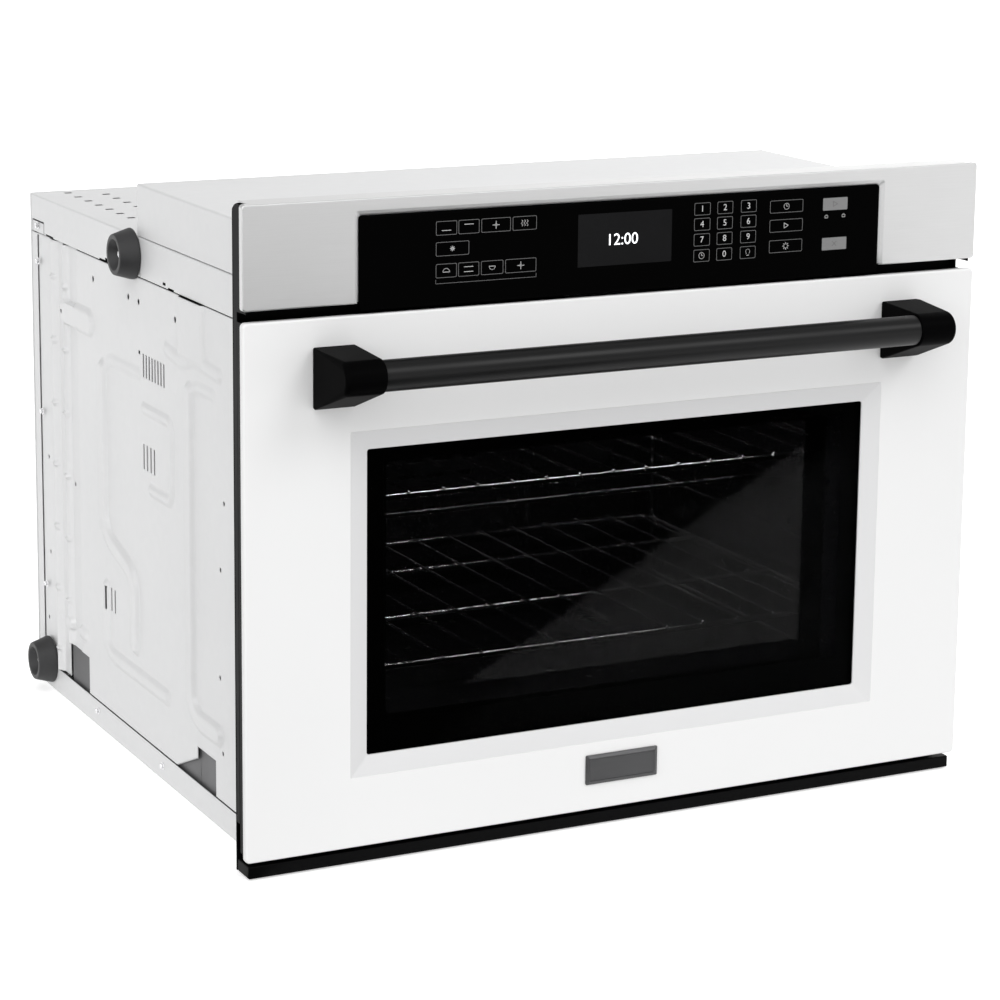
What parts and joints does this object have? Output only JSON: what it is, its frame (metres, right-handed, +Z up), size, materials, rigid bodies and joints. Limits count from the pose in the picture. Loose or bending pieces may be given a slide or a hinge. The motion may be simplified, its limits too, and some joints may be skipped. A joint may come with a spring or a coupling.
{
  "type": "wall oven",
  "caption": "Built-in electric wall oven with a drop-down window door, tubular handle, touch control panel, racks and fans.",
  "frame": {"origin": "middle of the footprint, handle included, on the underside of the base pan", "axes": "+X to the right as a person facing the door sees it, +Y into the cabinet, +Z up"},
  "size_m": [0.757, 0.744, 0.6075],
  "materials": {
    "white_enamel": "matt white powder-baked enamel on pressed steel",
    "stainless": "horizontally brushed stainless steel",
    "black_steel": "satin black powder coat",
    "black_glass": "black-printed polished glass",
    "galvanised": "bright galvanised sheet steel",
    "cavity_enamel": "dark glossy porcelain enamel",
    "glass_wool": "glass wool blanket",
    "rubber": "black moulded rubber",
    "heater_tube": "oxidised metal-sheathed heater tube",
    "chrome_wire": "chromed steel wire",
    "clear_glass": "clear heat-resistant glass",
    "circuit_board": "green circuit board",
    "dark_plastic": "black moulded plastic",
    "zinc_steel": "zinc-plated steel",
    "badge_metal": "graphite satin metal",
    "gasket_fibre": "woven glass-fibre seal"
  },
  "bodies": {
    "oven": {"front_frame": "black_steel", "bottom_trim": "black_steel", "side_panel_left": "galvanised", "side_panel_right": "galvanised", "rear_panel": "galvanised", "terminal_cover": "zinc_steel", "base_pan": "galvanised", "top_cover": "galvanised", "control_box_cover": "galvanised", "control_fascia": "stainless", "control_glass": "black_glass", "display_module": "dark_plastic", "control_board": "circuit_board", "cavity_roof": "cavity_enamel", "cavity_floor": "cavity_enamel", "cavity_wall_left": "cavity_enamel", "cavity_wall_right": "cavity_enamel", "cavity_back": "cavity_enamel", "insulation_blanket": "glass_wool", "rear_insulation": "glass_wool", "bumper_left_upper": "rubber", "bumper_left_lower": "rubber", "bumper_right_upper": "rubber", "bumper_right_lower": "rubber", "broil_element": "heater_tube", "bake_element": "heater_tube", "convection_element": "heater_tube", "convection_baffle": "cavity_enamel", "convection_motor": "zinc_steel", "blower_housing": "zinc_steel", "blower_motor": "zinc_steel", "rack_guide_left": "chrome_wire", "rack_guide_right": "chrome_wire", "temperature_probe": "chrome_wire", "oven_lamp": "clear_glass", "door_gasket": "gasket_fibre", "latch_motor": "zinc_steel", "door_switch": "dark_plastic", "hinge_bracket_left": "zinc_steel", "hinge_bracket_right": "zinc_steel", "hinge_pin_left": "zinc_steel", "hinge_pin_right": "zinc_steel"},
    "door": {"door_skin": "white_enamel", "door_frame": "black_steel", "outer_glass": "black_glass", "middle_glass": "clear_glass", "inner_glass": "clear_glass", "door_liner": "cavity_enamel", "badge_plate": "badge_metal", "handle_bar": "black_steel", "handle_bracket_left": "black_steel", "handle_bracket_right": "black_steel", "hinge_arm_left": "zinc_steel", "hinge_arm_right": "zinc_steel"},
    "upper_rack": {"upper_rack": "chrome_wire"},
    "lower_rack": {"lower_rack": "chrome_wire"},
    "convection_fan": {"convection_fan": "zinc_steel"},
    "blower_wheel": {"blower_wheel": "dark_plastic"},
    "latch_hook": {"latch_hook": "zinc_steel"},
    "switch_plunger": {"switch_plunger": "dark_plastic"}
  },
  "joints": [
    {"name": "door_hinge", "type": "hinge", "parent": "oven", "child": "door", "pos_m": [0, -0.288, 0.0345], "axis": [1, 0, 0], "range_deg": [0, 90], "stiffness_Nm_per_rad": 16, "springref_deg": -17.76},
    {"name": "upper_rack_slide", "type": "slide", "parent": "oven", "child": "upper_rack", "axis": [0, -1, 0], "range_m": [0, 0.33]},
    {"name": "lower_rack_slide", "type": "slide", "parent": "oven", "child": "lower_rack", "axis": [0, -1, 0], "range_m": [0, 0.165]},
    {"name": "convection_fan_spin", "type": "hinge", "parent": "oven", "child": "convection_fan", "pos_m": [0, 0.22, 0.267], "axis": [0, 1, 0], "continuous": true},
    {"name": "blower_wheel_spin", "type": "hinge", "parent": "oven", "child": "blower_wheel", "pos_m": [0, 0.18, 0.49], "axis": [0, 0, 1], "continuous": true},
    {"name": "latch_hook_swing", "type": "hinge", "parent": "oven", "child": "latch_hook", "pos_m": [0, -0.238, 0.4915], "axis": [0, 0, 1], "range_deg": [0, 12]},
    {"name": "switch_plunger_slide", "type": "slide", "parent": "oven", "child": "switch_plunger", "axis": [0, -1, 0], "range_m": [0, 0.004]}
  ],
  "couplings": [
    {"joint": "upper_rack_slide", "follows": "door_hinge", "m_per_rad": 0.21},
    {"joint": "lower_rack_slide", "follows": "door_hinge", "m_per_rad": 0.105},
    {"joint": "switch_plunger_slide", "follows": "door_hinge", "m_per_rad": 0.0025}
  ]
}
